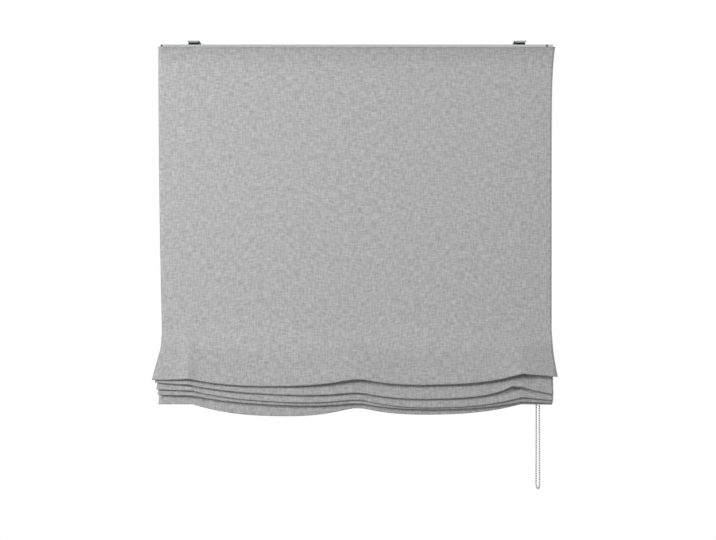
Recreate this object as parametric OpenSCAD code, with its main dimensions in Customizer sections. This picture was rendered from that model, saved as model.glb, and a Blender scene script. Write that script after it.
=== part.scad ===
// Soft roman blind: a linen-look cloth hung on an aluminium head rail and gathered
// from below by three lift cords that a bead chain winds onto drums inside the rail.
// The origin is the middle of the line between the two bracket screws, on the
// mounting plane. +X runs along the rail, the room side is -Y, and the blind hangs down.

/* [Cloth] */
// Width of the cloth at its top edge
fabric_w = 1000; // [800:10:1600]
// Thickness of the cloth
cloth_t = 1; // [0.8:0.1:1.4]
// How far each side draws in above the folds
draw_in = 9; // [0:1:15]
// Depth of the hem pocket
hem_depth = 30; // [20:1:45]
// Radius of the turn at the bottom of the hem
hem_r = 3; // [2.5:0.1:4]

/* [Folds] */
// Height of the first fold's lower edge below the mounting plane
fold_top = 850; // [700:1:1000]
// Radius of the turn at each fold's lower edge
fold_r = 2.5; // [2:0.5:4]
// How far the first fold stands in front of the hanging cloth
fold_out = 44; // [36:1:60]
// Step back from one fold to the next
fold_step = 7.5; // [6.5:0.5:10]
// Usual sag of a fold between two cords
fold_sag = 20; // [5:1:30]
// Distance from the first fold's lower edge up to the first crease
crease_rise = 85; // [75:1:100]
// Height from one crease to the next
crease_pitch = 12; // [10:0.5:14]
// Radius of the turn at each crease
crease_r = 2.5; // [2:0.1:3]
// Sag of each crease between two cords
crease_sag = 24; // [10:1:30]
// Distance from the first crease up to where the cloth starts to bow out at a cord
flare_rise = 34; // [20:1:60]
// How much higher the bow starts midway between cords
flare_slack = 32; // [0:1:80]

/* [Head rail] */
// Wall of the rail
rail_wall = 1.5; // [1.2:0.1:2.5]
// Inward lips along the open bottom of the rail
rail_lip = 3; // [2:0.5:4]
// Width of the slot along the top of the rail
slot_w = 13; // [11:0.5:16]
// Depth of the channel under that slot
slot_depth = 6; // [5.5:0.5:9]
// Thickness of the end cap and of the control unit's collar
cap_t = 5; // [3:0.5:8]
// Length of the control cover at the other end
cover_t = 13; // [10:1:20]
// How far the cloth reaches past the rail at each end
side_cover = 5; // [2:1:12]
// Part of the rail that shows above the cloth
rail_show = 6.6; // [4:0.1:9]
// Thickness of each half of the touch tape
tape_t = 1.2; // [0.8:0.1:2]
// Height of the touch tape
tape_h = 20; // [15:1:30]

/* [Brackets] */
// Width of a bracket plate
plate_w = 30; // [26:1:50]
// Thickness of a bracket plate
plate_t = 1.5; // [1.2:0.1:3]
// Gap between the plate and the top of the rail
plate_gap = 7.5; // [6:0.5:12]
// Height of the turned-down front edge of a plate
plate_edge = 4.5; // [3:0.5:6]
// Distance from the rail's middle back to the screw line
screw_back = 16; // [14:1:24]
// Diameter of the screw holes
screw_d = 5; // [4:0.5:6]
// Radius of the rivet that a locking cam turns on
rivet_r = 3; // [2:0.5:4]

/* [Lift] */
// Distance from the edge of the cloth to the outer lift cords and the brackets
cord_inset = 88; // [70:1:200]
// Diameter of a lift cord
cord_d = 1.4; // [1:0.1:2]
// Outer diameter of the rings sewn to the cloth
ring_od = 13; // [12:0.5:16]
// Diameter of the wire of those rings
ring_wire = 2; // [1.6:0.1:2.4]
// Spacing of the ring rows up the cloth
ring_rows = 215; // [150:5:300]
// Width between the flanges of a lift drum
drum_w = 18; // [12:1:24]
// Width across the flats of the drive shaft
shaft_af = 6; // [5:0.5:8]
// Turns of cord lying on each drum
cord_turns = 6; // [3:1:8]

/* [Chain] */
// Diameter of a bead
bead_d = 4.5; // [4:0.1:4.8]
// Distance between beads
bead_pitch = 6; // [5.6:0.1:7]
// Bead pockets round the chain wheel
pocket_count = 12; // [10:1:14]
// Beads along each hanging strand
strand_beads = 181; // [100:1:260]
// Turn of the hanging loop out of the wheel's plane, in degrees
loop_twist = -14; // [-30:1:30]
// Distance from the outer end of the control cover to the chain wheel
wheel_inset = 36; // [36:1:50]

/* [Hidden] */
$fn = 48;

// Clearances
seat_gap = 0.2;
run_fit = 0.05;
slide_fit = 0.3;
pocket_fit = 0.25;
bead_clear = 0.6;
cord_lay = 0.3;
bite = 0.5;

// Chain wheel
wheel_r = bead_pitch / 2 / sin(180 / pocket_count);
bead_r = bead_d / 2;
chain_cord_r = 0.75;
chain_reach = wheel_r + bead_r;
rim_r = wheel_r + 1.2;
rim_half = 4;
groove_half = 1.2;
groove_flare = 3;

// Rail cross-section, worked outwards from the chain and the drums inside it
housing_wall = 1.5;
rail_d = 2 * (chain_reach + bead_clear + rail_lip + rail_wall);
rail_front = -rail_d / 2;
rail_y = -screw_back;
rail_top = -(plate_t + plate_gap);
cavity_top = rail_top - 2 * rail_wall - slot_depth;
shaft_z = cavity_top - seat_gap - housing_wall - bead_clear - chain_reach;
cloth_back = rail_front - 2 * tape_t;
cloth_y = cloth_back - cloth_t / 2;
ring_r = (ring_od - ring_wire) / 2;
panel_ring_y = cloth_back + seat_gap + ring_od / 2;
cord_y = panel_ring_y + 1;
cord_r = cord_d / 2;
drum_r = -cord_y - cord_r - cord_lay;
flange_r = drum_r + cord_d + 1;
flange_t = 1.5;
cradle_base_t = 2;
drum_clear = 0.8;
base_top = shaft_z - flange_r - drum_clear;
lip_top = base_top - cradle_base_t;
rail_bottom = lip_top - rail_wall;
rail_h = rail_top - rail_bottom;
cavity_half = rail_d / 2 - rail_wall;
mouth_half = cavity_half - rail_lip;
blind_end = fabric_w / 2 - side_cover;
rail_start = -blind_end + cap_t;
rail_stop = blind_end - cover_t - cap_t;
cover_in = blind_end - cover_t;
corner_r = 1.2;
plug_len = 8;
tape_top = rail_top - rail_show - 2;

// Stations across the blind
cord_x = fabric_w / 2 - cord_inset;
cord_xs = [-cord_x, 0, cord_x];
wheel_x = blind_end - wheel_inset;

// Chain loop
strand_len = strand_beads * bead_pitch;
loop_shift = [wheel_r * sin(loop_twist), wheel_r * (cos(loop_twist) - 1)];
strand_drop = sqrt(pow(strand_len, 2) - pow(loop_shift[0], 2) - pow(loop_shift[1], 2));
loop_z = shaft_z - strand_drop;
connector_bead = 24;
connector_len = bead_pitch + bead_d + 3;
connector_r = bead_r + 1.2;

// Control unit
journal_r = 7;
bulkhead_t = 2;
housing_in = wheel_x - rim_half - 6;
core_r = 6;
core_end = wheel_x + rim_half + 1;
sleeve_in_r = core_r + 1.7;
sleeve_r = sleeve_in_r + 2;
sleeve_end = wheel_x + rim_half + 16;
sleeve_lip = 2;
spring_wire = 1;
spring_r = core_r + spring_wire / 2 + pocket_fit;
spring_turns = 8;
spring_start = core_end + 1.5;
spring_end = sleeve_end - sleeve_lip - 1.5;
spring_sides = 6;
spring_steps = 12;

// Lift drums
drum_half = drum_w / 2 + flange_t;
drum_journal_r = 6;
journal_len = 5;
cradle_plate_t = 2.5;
cradle_side = drum_journal_r + 4;
cradle_half = drum_half + slide_fit + cradle_plate_t;
shaft_start = -cord_x - cradle_half - 6;
shaft_stop = wheel_x - rim_half - 1;
shaft_r = shaft_af / sqrt(3);

// Brackets
plate_front = rail_front - 2;
plate_back = screw_back + 2 * screw_d + corner_r;
cam_x = 29;
cam_y = 22;
cam_top = -plate_t - seat_gap;
cam_bottom = rail_top + slide_fit;
neck_r = slot_w / 2 - slide_fit;
head_top = rail_top - rail_wall - slide_fit;
head_t = 2.6;
head_reach = slot_w / 2 + 3;
rivet_head_t = 1;
rivet_head_r = rivet_r + 1.5;
lever_w = 8;
lever_t = 4;
lever_end = plate_back + 9;
cam_r = 5;

// Folds. Each row holds one edge: how far it hangs below fold_top at the left side,
// the left, middle and right cords, and the right side. The last row is the hem.
fold_edges = [
    [1, 0, 0, -12, -5],
    [8, 15, 34, 19, 35],
    [26, 29, 52, 45, 53],
    [40, 42, 62, 57, 61],
    [65, 65, 75, 65, 66]
];
// Share of fold_sag that each edge has left and right of the middle cord
sag_shares = [[0.85, 0.95], [0.65, 1.1], [0.8, 1.15], [0.65, 0.85], [1.25, 1.05]];
// How far the left and right ends of each edge stand out past the top width
fold_sides = [[9, -2], [2.5, -11], [-0.5, -10], [-2, -10], [-2.5, -10]];
fold_count = len(fold_edges) - 1;
hem_row = fold_count;
crease_y = cloth_y;
crease_back = crease_y + crease_r + cloth_t / 2;
crease_half = fabric_w / 2 - draw_in - 1.5;
hem_out = 9;
hem_y = crease_y - hem_out;
fabric_top = rail_top - rail_show;
span_steps = [3, 9, 9, 3];
swag_power = 2.4;
middle_round = 0.06;
cord_flare = 1.05;
free_flare = 1.6;
side_flare = 2.6;
drape_power = 0.65;
cord_pinch = 0.3;
pinch_power = 4;
tail_turn = -60;
panel_steps = 4;
flare_steps = 6;
layer_steps = 4;
turn_steps = 4;
columns = [
    for (span = [0 : 3]) for (i = [0 : span_steps[span] - 1]) [span, i / span_steps[span]],
    [3, 1]
];

// Rings in the gathered creases stand further back than those on the flat cloth
crease_ring_y = crease_back + seat_gap + ring_od / 2;
panel_ring_z = -(fold_top - crease_rise - flare_rise + 2);
panel_ring_rows = floor((fabric_top - panel_ring_z - 40) / ring_rows);

// Cord stops, one under the lowest ring of each cord
stop_r = 6;
stop_h = 9;
stop_round = 2;
knot_r = 1.7;
stop_top = -(fold_top - crease_rise + crease_pitch * (fold_count - 1)) - ring_wire / 2 - seat_gap;
knot_z = stop_top - stop_h + knot_r;

// Cloth shape
function mix(a, b, t) = a + (b - a) * t;
function across(values, c) = mix(values[c[0]], values[c[0] + 1], c[1]);
function inner(c) = c[0] == 1 || c[0] == 2;
function rounding(u) = u * u / (u * u + middle_round * middle_round);
function swag(c) =
    inner(c) ? (1 - pow(abs(2 * c[1] - 1), swag_power)) * rounding(c[0] == 1 ? 1 - c[1] : c[1]) : 0;
function slack(c) =
    (1 - cos(c[0] == 0 ? 180 * (1 - c[1]) : c[0] == 3 ? 180 * c[1] : 360 * c[1])) / 2;
function half_of(pair, c) = pair[c[0] < 2 ? 0 : 1];
function edge_z(row, c) =
    -(fold_top + across(fold_edges[row], c) + fold_sag * half_of(sag_shares[row], c) * swag(c));
function crease_z(i, c) = -(fold_top - crease_rise + crease_pitch * i + crease_sag * swag(c));
function free(c) = inner(c) ? slack(c) : 0;
function flare_z(c) = crease_z(0, [1, 0]) + flare_rise + flare_slack * free(c);
function fold_y(i) = cloth_y - fold_out + fold_step * i;
function half_w(i, c) = fabric_w / 2 + half_of(fold_sides[i], c);
function pinch(c) = cord_pinch * (1 - slack(c));

// A hanging layer from a crease down to a fold: [half width, y, z] at each step
function layer(top, low, power, steps, spread, tuck) = [
    for (i = [0 : steps])
        let (s = pow(i / steps, 1.4))
        [
            mix(top[0], low[0], pow(s, spread)),
            mix(top[1], low[1], mix(pow(s, power), pow(s, pinch_power), tuck)),
            mix(top[2], low[2], s)
        ]
];
function draped(top, low, c) = layer(top, low, drape_power, layer_steps, 1, pinch(c));
function turn(half, y, z, r, from, to) = [
    for (i = [1 : turn_steps - 1])
        let (a = mix(from, to, i / turn_steps))
        [half, y + r * cos(a), z + r * sin(a)]
];
function backwards(list) = [for (i = [len(list) - 1 : -1 : 0]) list[i]];

function panel_path(c) = [
    for (i = [0 : panel_steps - 1])
        let (s = i / panel_steps)
        [fabric_w / 2 - draw_in * s * s, cloth_y, mix(fabric_top, flare_z(c), s)]
];
function first_front(c) = layer(
    [fabric_w / 2 - draw_in, cloth_y, flare_z(c)],
    [half_w(0, c), fold_y(0) - fold_r, edge_z(0, c) + fold_r],
    mix(cord_flare, free_flare, free(c)), flare_steps, side_flare, 0
);
function front(i, c) = draped(
    [crease_half, crease_y, crease_z(i - 1, c) - crease_r],
    [half_w(i, c), fold_y(i) - fold_r, edge_z(i, c) + fold_r], c
);
function rear(i, c) = backwards(draped(
    [crease_half, crease_y, crease_z(i, c) + crease_r],
    [half_w(i, c), fold_y(i) + fold_r, edge_z(i, c) + fold_r], c
));
function loop(i, c) = concat(
    i == 0 ? first_front(c) : front(i, c),
    turn(half_w(i, c), fold_y(i), edge_z(i, c) + fold_r, fold_r, 180, 360),
    rear(i, c),
    turn(crease_half, crease_y, crease_z(i, c), crease_r, 90, i < fold_count - 1 ? -90 : tail_turn)
);
function tail(c) =
    let (low = edge_z(hem_row, c) + hem_r, half = half_w(hem_row, c), last = fold_count - 1)
    concat(
        draped(
            [
                crease_half, crease_y + crease_r * cos(tail_turn),
                crease_z(last, c) + crease_r * sin(tail_turn)
            ],
            [half, hem_y - hem_r, low], c
        ),
        turn(half, hem_y, low, hem_r, 180, 360),
        [[half, hem_y + hem_r, low], [half, hem_y + hem_r, low + hem_depth]]
    );
function cloth_path(c) = concat(
    panel_path(c), [for (i = [0 : fold_count - 1]) each loop(i, c)], tail(c)
);
function column_x(c, half) = across([-half, -cord_x, 0, cord_x, half], c);

// One face of the cloth, half a thickness to the side that the sign gives
function cloth_side(c, sign) =
    let (path = cloth_path(c), last = len(path) - 1)
    [
        for (j = [0 : last])
            let (
                ahead = path[min(j + 1, last)] - path[max(j - 1, 0)],
                along = [ahead[1], ahead[2]] / norm([ahead[1], ahead[2]])
            )
            [
                column_x(c, path[j][0]),
                path[j][1] - sign * along[1] * cloth_t / 2,
                path[j][2] + sign * along[0] * cloth_t / 2
            ]
    ];

function quads(list) = [for (q = list) each [[q[0], q[1], q[2]], [q[0], q[2], q[3]]]];
function sheet_faces(nc, nr) =
    let (back = nc * nr)
    quads(concat(
        [for (i = [0 : nc - 2]) for (j = [0 : nr - 2])
            [i * nr + j, (i + 1) * nr + j, (i + 1) * nr + j + 1, i * nr + j + 1]],
        [for (i = [0 : nc - 2]) for (j = [0 : nr - 2])
            [back + i * nr + j, back + i * nr + j + 1,
             back + (i + 1) * nr + j + 1, back + (i + 1) * nr + j]],
        [for (i = [0 : nc - 2])
            [i * nr, back + i * nr, back + (i + 1) * nr, (i + 1) * nr]],
        [for (i = [0 : nc - 2])
            let (a = i * nr + nr - 1, b = a + nr)
            [a, b, back + b, back + a]],
        [for (j = [0 : nr - 2]) [j, j + 1, back + j + 1, back + j]],
        [for (j = [0 : nr - 2])
            let (a = (nc - 1) * nr + j)
            [a, back + a, back + a + 1, a + 1]]
    ));

// A tube through rings of points, closed at both ends
function tube_faces(rings, sides) = concat(
    quads([
        for (i = [0 : rings - 2]) for (k = [0 : sides - 1])
            let (n = (k + 1) % sides)
            [i * sides + k, i * sides + n, (i + 1) * sides + n, (i + 1) * sides + k]
    ]),
    [[for (k = [sides - 1 : -1 : 0]) k], [for (k = [0 : sides - 1]) (rings - 1) * sides + k]]
);

// Shared shapes
module at_rail(x = 0, y = 0, z = 0) { translate([x, rail_y + y, z]) children(); }

module along_x(from, to) {
    at_rail(from) rotate([90, 0, 90]) linear_extrude(to - from) children();
}

module turned(x = 0) { at_rail(x, 0, shaft_z) rotate([0, 90, 0]) rotate_extrude() children(); }

module rounded(w, h, r) {
    middle_x = w / 2 - r;
    middle_y = h / 2 - r;
    union() {
        square([w, 2 * middle_y], center = true);
        square([2 * middle_x, h], center = true);
        for (x = [-1, 1]) for (y = [-1, 1]) translate([x * middle_x, y * middle_y]) circle(r);
    }
}

module span(y_from, y_to, z_from, z_to) {
    translate([y_from, z_from]) square([y_to - y_from, z_to - z_from]);
}

module rail_outline() {
    translate([0, (rail_top + rail_bottom) / 2]) rounded(rail_d, rail_h, corner_r);
}

module rail_cavity(gap) {
    span(-cavity_half + gap, cavity_half - gap, lip_top + gap, cavity_top - gap);
}

module ring(x, y, z) {
    at_rail(x, y, z) rotate_extrude() translate([ring_r, 0]) circle(ring_wire / 2);
}

module head_rail() {
    color("#c9cbcd") along_x(rail_start, rail_stop) difference() {
        rail_outline();
        rail_cavity(0);
        span(-mouth_half, mouth_half, rail_bottom - 1, lip_top + bite);
        span(-cavity_half, cavity_half, cavity_top + rail_wall, rail_top - rail_wall);
        span(-slot_w / 2, slot_w / 2, rail_top - rail_wall - bite, rail_top + 1);
    }
}

module end_cap_left() {
    color("#5d5f61") {
        along_x(-blind_end, rail_start) rail_outline();
        along_x(rail_start, rail_start + plug_len) difference() {
            rail_cavity(seat_gap);
            rail_cavity(seat_gap + housing_wall);
        }
    }
}

module control_housing() {
    color("#5d5f61") {
        along_x(housing_in, cover_in) difference() {
            rail_cavity(seat_gap);
            span(
                -cavity_half + seat_gap + housing_wall, cavity_half - seat_gap - housing_wall,
                lip_top - 1, cavity_top - seat_gap - housing_wall
            );
        }
        along_x(housing_in, housing_in + bulkhead_t) difference() {
            rail_cavity(seat_gap);
            translate([0, shaft_z]) circle(journal_r + run_fit);
        }
        along_x(rail_stop, cover_in) difference() {
            rail_outline();
            rail_cavity(seat_gap + housing_wall);
        }
    }
}

module control_cover() {
    color("#d9dadb") {
        along_x(blind_end - housing_wall, blind_end) rail_outline();
        along_x(cover_in, blind_end) difference() {
            rail_outline();
            rail_cavity(0);
        }
        turned() translate([0, core_end]) square([core_r, blind_end - core_end]);
    }
}

module tape(y) {
    along_x(rail_start, rail_stop) span(y, y + tape_t, tape_top - tape_h, tape_top);
}

module hook_tape() { color("#e4e4e2") tape(rail_front - tape_t); }

module loop_tape() { color("#eeeeec") tape(cloth_back); }

module bracket_plate(x) {
    depth = plate_back - plate_front;
    middle = (plate_front + plate_back) / 2;
    color("#a7a9ab") difference() {
        union() {
            at_rail(x, middle, -plate_t) linear_extrude(plate_t) rounded(plate_w, depth, corner_r);
            at_rail(x, plate_front + plate_t / 2, -plate_edge / 2)
                cube([plate_w - 4 * corner_r, plate_t, plate_edge], center = true);
        }
        translate([x, 0, -plate_t - 1]) cylinder(d = screw_d, h = plate_t + 2);
        at_rail(x, 0, -plate_t - 1) cylinder(r = rivet_r + run_fit, h = plate_t + 2);
    }
}

module bracket_cam(x) {
    color("#1d1d1f") at_rail(x) difference() {
        union() {
            translate([0, 0, cam_bottom])
                linear_extrude(cam_top - cam_bottom) rounded(cam_x, cam_y, cam_r);
            translate([0, 0, head_top - bite]) cylinder(r = neck_r, h = cam_bottom - head_top + 2 * bite);
            translate([0, 0, head_top - head_t]) linear_extrude(head_t) intersection() {
                circle(head_reach);
                square([2 * neck_r, 2 * head_reach], center = true);
            }
            translate([cam_x / 2 - lever_w, 0, cam_bottom])
                cube([lever_w, lever_end - lever_w / 2, lever_t]);
            translate([cam_x / 2 - lever_w / 2, lever_end - lever_w / 2, cam_bottom])
                cylinder(d = lever_w, h = lever_t);
        }
        translate([0, 0, head_top - head_t - 1])
            cylinder(r = rivet_r + run_fit, h = cam_top - head_top + head_t + 2);
    }
}

module cam_rivet(x) {
    low = head_top - head_t - seat_gap;
    color("#8d8f91") at_rail(x) {
        translate([0, 0, low]) cylinder(r = rivet_r, h = -low);
        translate([0, 0, low - rivet_head_t]) cylinder(r = rivet_head_r, h = rivet_head_t);
    }
}

module drum_cradle(x) {
    color("#e9e9e6") difference() {
        union() {
            along_x(x - cradle_half, x + cradle_half)
                span(-cavity_half + seat_gap, cavity_half - seat_gap, lip_top, base_top);
            for (end = [-cradle_half, cradle_half - cradle_plate_t])
                along_x(x + end, x + end + cradle_plate_t) {
                    span(-cradle_side, cradle_side, base_top - bite, shaft_z);
                    translate([0, shaft_z]) circle(cradle_side);
                }
        }
        along_x(x - 2 * cradle_half, x + 2 * cradle_half)
            translate([0, shaft_z]) circle(drum_journal_r + run_fit);
        at_rail(x, cord_y, lip_top - 1) cylinder(r = cord_d, h = cradle_base_t + 2);
    }
}

module lift_drum(x) {
    color("#f0f0ee") difference() {
        turned(x) union() {
            translate([0, -drum_half]) square([drum_r, 2 * drum_half]);
            translate([0, -drum_half]) square([flange_r, flange_t]);
            translate([0, drum_half - flange_t]) square([flange_r, flange_t]);
            translate([0, -drum_half - journal_len])
                square([drum_journal_r, 2 * (drum_half + journal_len)]);
        }
        along_x(x - 2 * drum_half, x + 2 * drum_half)
            translate([0, shaft_z]) circle(shaft_r + run_fit, $fn = 6);
    }
}

module drive_shaft() {
    color("#b4b6b8") along_x(shaft_start, shaft_stop)
        translate([0, shaft_z]) circle(shaft_r, $fn = 6);
}

module chain_sprocket() {
    groove_r = wheel_r - chain_cord_r - cord_lay;
    color("#f4f4f2") difference() {
        turned(wheel_x) difference() {
            union() {
                translate([0, housing_in - wheel_x - 1]) square([journal_r, wheel_x - housing_in]);
                translate([0, -rim_half]) square([rim_r, 2 * rim_half]);
                translate([0, rim_half - bite])
                    square([sleeve_r, sleeve_end - wheel_x - rim_half + bite]);
            }
            polygon([
                [groove_r, -groove_half], [rim_r + 1, -groove_flare],
                [rim_r + 1, groove_flare], [groove_r, groove_half]
            ]);
            translate([0, rim_half]) square([core_r + run_fit, sleeve_end]);
            translate([0, rim_half]) square([sleeve_in_r, sleeve_end - sleeve_lip - wheel_x - rim_half]);
        }
        for (i = [0 : pocket_count - 1])
            at_rail(wheel_x, 0, shaft_z) rotate([i * 360 / pocket_count, 0, 0])
                translate([0, wheel_r, 0]) sphere(bead_r + pocket_fit);
        along_x(housing_in - bulkhead_t, shaft_stop + seat_gap)
            translate([0, shaft_z]) circle(shaft_r + run_fit, $fn = 6);
    }
}

module brake_spring() {
    rings = spring_turns * spring_steps + 1;
    points = [
        for (i = [0 : rings - 1]) for (k = [0 : spring_sides - 1])
            let (
                a = 360 * i / spring_steps, b = 360 * k / spring_sides,
                r = spring_r + spring_wire / 2 * cos(b)
            )
            [
                mix(spring_start, spring_end, i / (rings - 1)) + spring_wire / 2 * sin(b),
                r * cos(a), r * sin(a)
            ]
    ];
    color("#9a9c9e") at_rail(0, 0, shaft_z) polyhedron(points, tube_faces(rings, spring_sides));
}

// The strand on one side of the wheel, leaning with the twist of the loop, with its
// children placed from its top end downwards
module strand_frame(side) {
    lean = side * loop_shift[0];
    at_rail(wheel_x, side * wheel_r, shaft_z)
        rotate([0, 0, atan2(side * loop_shift[1], lean)])
        rotate([0, -asin(norm(loop_shift) / strand_len), 0])
        children();
}

module half_turn() {
    rotate([90, 0, 0]) rotate([0, 90, 0]) rotate_extrude(angle = 180)
        translate([wheel_r, 0]) circle(chain_cord_r);
    for (i = [1 : pocket_count / 2 - 1])
        rotate([i * 360 / pocket_count, 0, 0]) translate([0, wheel_r, 0]) sphere(bead_r);
}

module bead_chain() {
    color("#f2f2f0") {
        for (side = [-1, 1]) strand_frame(side) rotate_extrude() intersection() {
            union() {
                translate([0, -strand_len]) square([chain_cord_r, strand_len]);
                for (i = [0 : strand_beads]) translate([0, -i * bead_pitch]) circle(bead_r);
            }
            translate([0, -strand_len - bead_d]) square([bead_d, strand_len + 2 * bead_d]);
        }
        at_rail(wheel_x, 0, shaft_z) half_turn();
        at_rail(wheel_x, 0, loop_z) rotate([0, 0, -loop_twist]) rotate([180, 0, 0]) half_turn();
    }
}

module chain_connector() {
    middle = -(connector_bead + 0.5) * bead_pitch;
    color("#dfe3e6") strand_frame(1) difference() {
        translate([0, 0, middle]) cylinder(r = connector_r, h = connector_len, center = true);
        translate([0, 0, middle])
            cylinder(r = chain_cord_r + pocket_fit, h = 2 * connector_len, center = true);
        for (i = [0, 1])
            translate([0, 0, -(connector_bead + i) * bead_pitch]) sphere(bead_r + pocket_fit);
    }
}

module fabric_shade() {
    rows = len(cloth_path(columns[0]));
    points = [for (sign = [-1, 1]) for (c = columns) each cloth_side(c, sign)];
    color("#b7b7b7") at_rail() polyhedron(points, sheet_faces(len(columns), rows));
}

module fabric_rings() {
    color("#e8e8e6") for (s = [1 : 3]) {
        x = cord_xs[s - 1];
        for (i = [0 : panel_ring_rows]) ring(x, panel_ring_y, panel_ring_z + i * ring_rows);
        for (i = [0 : fold_count - 2]) ring(x, crease_ring_y, crease_z(i, [1, 0]));
    }
}

module hem_rings() {
    color("#e8e8e6") for (x = cord_xs) ring(x, crease_ring_y, crease_z(fold_count - 1, [1, 0]));
}

module cord_stop(x) {
    color("#f2f2f0") difference() {
        at_rail(x, cord_y, stop_top) rotate_extrude() union() {
            translate([0, -stop_h]) square([stop_r, stop_h - stop_round]);
            translate([0, -stop_round]) square([stop_r - stop_round, stop_round]);
            intersection() {
                translate([stop_r - stop_round, -stop_round]) circle(stop_round);
                translate([0, -stop_round]) square([stop_r, stop_round]);
            }
        }
        at_rail(x, cord_y, stop_top - stop_h - 1) cylinder(r = cord_r + pocket_fit, h = stop_h + 2);
        at_rail(x, cord_y, stop_top - stop_h - 1) cylinder(r = knot_r + seat_gap, h = 2 * knot_r + 1);
    }
}

module lift_cord(x) {
    color("#f2f2f0") {
        at_rail(x, cord_y, knot_z) cylinder(r = cord_r, h = shaft_z - knot_z);
        at_rail(x, cord_y, knot_z) sphere(knot_r);
        at_rail(x, 0, shaft_z) rotate([-90, 0, 0]) rotate([0, 90, 0]) rotate_extrude(angle = 270)
            translate([-cord_y, 0]) circle(cord_r);
        for (i = [1 : cord_turns - 1])
            turned(x + i * (cord_d + run_fit)) translate([-cord_y, 0]) circle(cord_r);
    }
}

module hem_weight() {
    sides = 8;
    radius = hem_r - cloth_t / 2 - slide_fit;
    points = [
        for (c = columns) for (k = [0 : sides - 1])
            let (a = 360 * k / sides)
            [
                column_x(c, half_w(hem_row, c) - cloth_t), hem_y + radius * cos(a),
                edge_z(hem_row, c) + hem_r + radius * sin(a)
            ]
    ];
    color("#6f7276") at_rail() polyhedron(points, tube_faces(len(columns), sides));
}

head_rail();
end_cap_left();
control_housing();
control_cover();
hook_tape();
loop_tape();
bracket_plate(-cord_x);  // bracket_plate_left
bracket_plate(cord_x);  // bracket_plate_right
bracket_cam(-cord_x);  // bracket_cam_left
bracket_cam(cord_x);  // bracket_cam_right
cam_rivet(-cord_x);  // cam_rivet_left
cam_rivet(cord_x);  // cam_rivet_right
drum_cradle(-cord_x);  // drum_cradle_left
drum_cradle(0);  // drum_cradle_middle
drum_cradle(cord_x);  // drum_cradle_right
lift_drum(-cord_x);  // lift_drum_left
lift_drum(0);  // lift_drum_middle
lift_drum(cord_x);  // lift_drum_right
drive_shaft();
chain_sprocket();
brake_spring();
bead_chain();
chain_connector();
fabric_shade();
fabric_rings();
lift_cord(-cord_x);  // lift_cord_left
lift_cord(0);  // lift_cord_middle
lift_cord(cord_x);  // lift_cord_right
hem_weight();
hem_rings();
cord_stop(-cord_x);  // cord_stop_left
cord_stop(0);  // cord_stop_middle
cord_stop(cord_x);  // cord_stop_right
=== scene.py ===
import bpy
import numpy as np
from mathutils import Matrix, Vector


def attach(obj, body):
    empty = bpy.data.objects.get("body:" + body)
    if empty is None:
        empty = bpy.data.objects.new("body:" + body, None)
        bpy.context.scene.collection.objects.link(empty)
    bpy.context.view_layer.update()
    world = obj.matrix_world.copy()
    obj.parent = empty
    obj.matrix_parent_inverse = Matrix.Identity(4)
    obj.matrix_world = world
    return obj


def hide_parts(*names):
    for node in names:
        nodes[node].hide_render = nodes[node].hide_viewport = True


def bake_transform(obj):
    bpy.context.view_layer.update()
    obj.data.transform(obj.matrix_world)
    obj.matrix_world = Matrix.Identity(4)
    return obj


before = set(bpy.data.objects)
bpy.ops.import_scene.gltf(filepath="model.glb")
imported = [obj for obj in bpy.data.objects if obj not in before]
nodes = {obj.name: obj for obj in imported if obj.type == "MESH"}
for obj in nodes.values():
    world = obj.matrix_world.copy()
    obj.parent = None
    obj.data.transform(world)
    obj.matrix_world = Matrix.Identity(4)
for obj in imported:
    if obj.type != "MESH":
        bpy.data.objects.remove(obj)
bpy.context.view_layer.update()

# %% [markdown]
# # A soft roman blind
# A roman blind is a flat cloth that hangs from a head rail. Three cords run down its back
# through small rings. Winding the cords up gathers the bottom of the cloth into loose folds,
# and a loop of bead chain at one end turns the shaft that winds them.
#
# The solids of the blind are already loaded, in metres, with the mounting plane at z = 0 and
# the room on the -Y side. What we add has to stay within it, apart from cloth that stands a
# little proud.

# %% [markdown]
# ## The camera
# The blind is seen square on from about three metres away, so its rail is level and its sides
# are upright. A camera that looks along +Y with no tilt gives that at once. The lens follows
# from the width that the view takes in at the cloth, by similar triangles.

# %% Camera
CLOTH_PLANE_Y = -0.0378
VIEW_WIDTH = 1.804
VIEW_DISTANCE = 3.2
VIEW_CENTRE = (0.003, -0.578)
SENSOR_WIDTH = 36.0

scene = bpy.context.scene
camera_data = bpy.data.cameras.new("camera")
camera_data.sensor_width = SENSOR_WIDTH
camera_data.lens = SENSOR_WIDTH * VIEW_DISTANCE / VIEW_WIDTH
camera = bpy.data.objects.new("camera", camera_data)
camera.location = (VIEW_CENTRE[0], CLOTH_PLANE_Y - VIEW_DISTANCE, VIEW_CENTRE[1])
camera.rotation_euler = (np.pi / 2, 0, 0)
scene.collection.objects.link(camera)
scene.camera = camera
scene.view_settings.view_transform = "Standard"
print(f"lens {camera_data.lens:.1f} mm, {VIEW_DISTANCE} m from the cloth")

# %% [markdown]
# ## From a grid of points to a mesh
# Nearly every piece here is a grid: rows along a path and columns round or across it. One
# helper joins neighbours on the grid into four-sided faces, and gives the row and column of
# each face corner, which later become the texture coordinates. It never needs a loop over
# points: numpy works out the whole table of corners at once. All shapes are worked out in
# millimetres, because that is how a maker thinks of them, and turned into metres at the end.

# %% Grid and mesh helpers
MM = 0.001


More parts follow.
